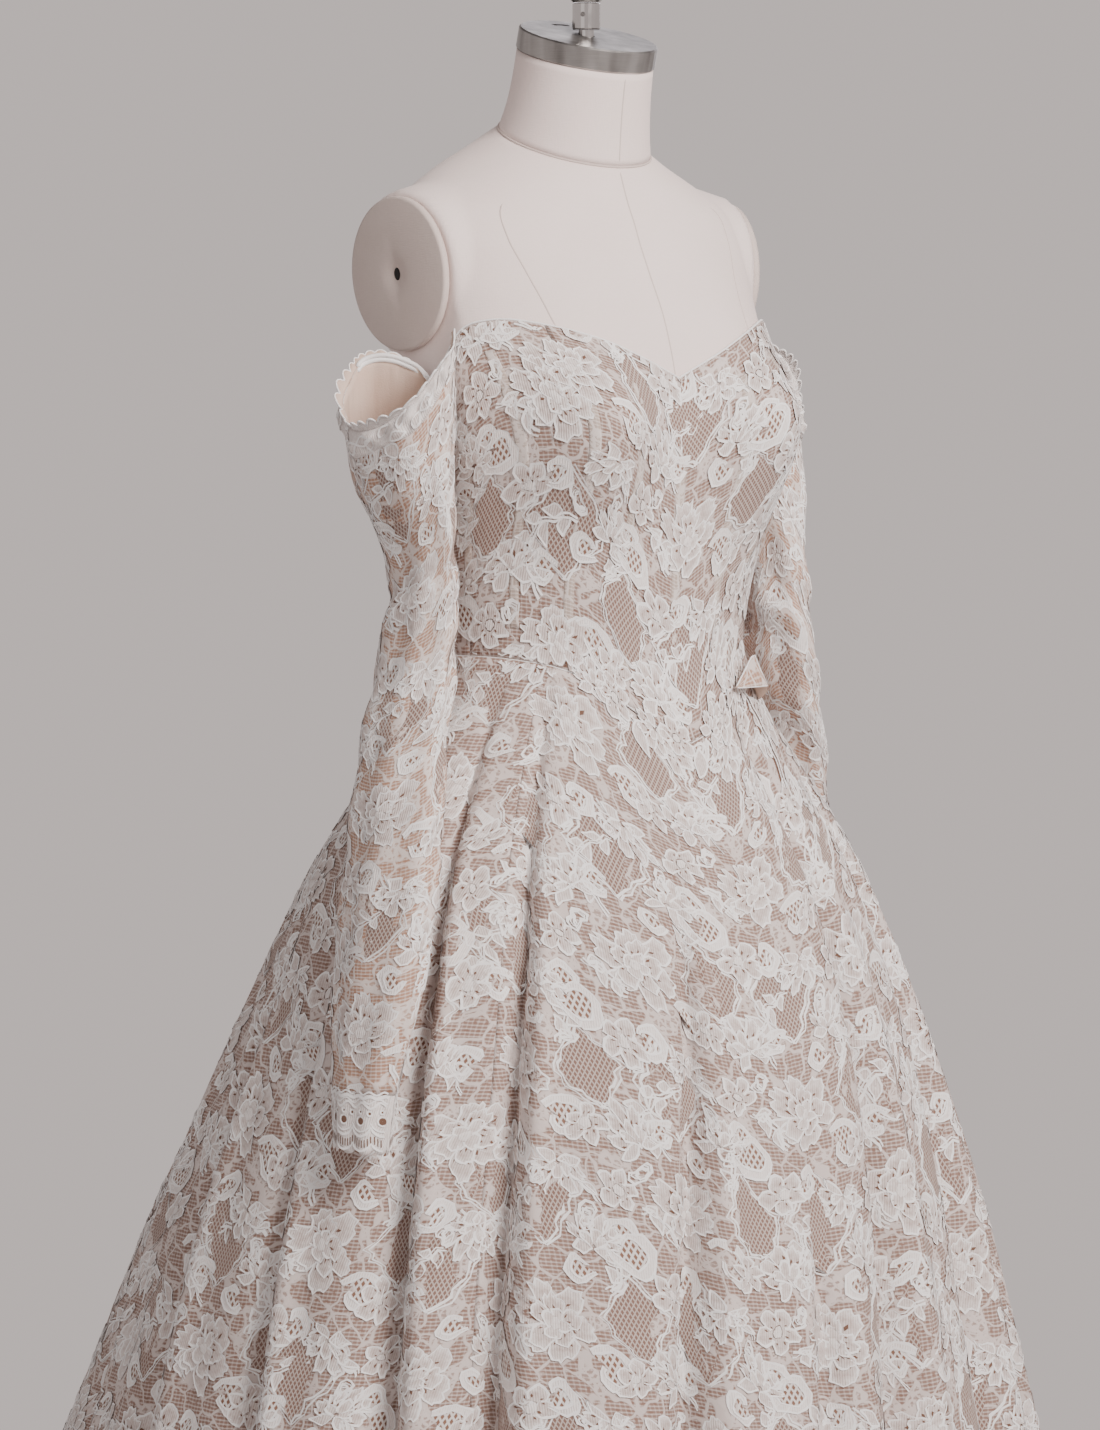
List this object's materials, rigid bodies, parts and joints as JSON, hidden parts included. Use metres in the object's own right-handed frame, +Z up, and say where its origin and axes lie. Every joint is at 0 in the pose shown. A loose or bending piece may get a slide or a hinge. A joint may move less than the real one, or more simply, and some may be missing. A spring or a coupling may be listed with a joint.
{
  "type": "wedding dress on a dress form",
  "caption": "Off-shoulder long-sleeved lace wedding dress with a boned pointed bodice and a full pleated skirt, standing on a limbless dress form with a round base.",
  "frame": {"origin": "centre of the stand's flat underside, on the floor", "axes": "+Z up, along the wearer's height; -Y is the dress's front; -X is the wearer's right"},
  "size_m": [0.9597, 1.1285, 1.5833],
  "materials": {
    "form_linen": "matte linen",
    "brushed_steel": "brushed",
    "chrome": "polished",
    "black_screw": "satin",
    "painted_stand": "satin",
    "lined_lace": "matte lace on a nude lining",
    "lace_edging": "matte corded lace",
    "boning_casing": "matte tape",
    "covered_buttons": "satin"
  },
  "bodies": {
    "root": {"form_torso": "form_linen", "form_neck": "form_linen", "form_plate_right": "form_linen", "form_plate_left": "form_linen", "form_cap": "brushed_steel", "stand_pole": "brushed_steel", "form_stud": "chrome", "form_collar": "chrome", "form_knob": "chrome", "form_screw_right": "black_screw", "form_screw_left": "black_screw", "stand_base": "painted_stand", "bodice_front": "lined_lace", "bodice_side_front_right": "lined_lace", "bodice_side_front_left": "lined_lace", "bodice_side_back_right": "lined_lace", "bodice_side_back_left": "lined_lace", "bodice_back_right": "lined_lace", "bodice_back_left": "lined_lace", "skirt_front": "lined_lace", "skirt_side_right": "lined_lace", "skirt_side_left": "lined_lace", "skirt_back_right": "lined_lace", "skirt_back_left": "lined_lace", "pleat_tip_left": "lined_lace", "sleeve_right": "lined_lace", "sleeve_left": "lined_lace", "sleeve_edge_right": "lace_edging", "sleeve_edge_left": "lace_edging", "cuff_right_outer": "lace_edging", "cuff_right_inner": "lace_edging", "cuff_left_outer": "lace_edging", "cuff_left_inner": "lace_edging", "bone_centre": "boning_casing", "bone_right_20": "boning_casing", "bone_right_40": "boning_casing", "bone_right_60": "boning_casing", "bone_right_80": "boning_casing", "bone_left_20": "boning_casing", "bone_left_40": "boning_casing", "bone_left_60": "boning_casing", "bone_left_80": "boning_casing", "button_1": "covered_buttons", "button_2": "covered_buttons", "button_3": "covered_buttons", "button_4": "covered_buttons", "button_5": "covered_buttons", "button_6": "covered_buttons", "button_7": "covered_buttons", "button_8": "covered_buttons"}
  },
  "joints": []
}
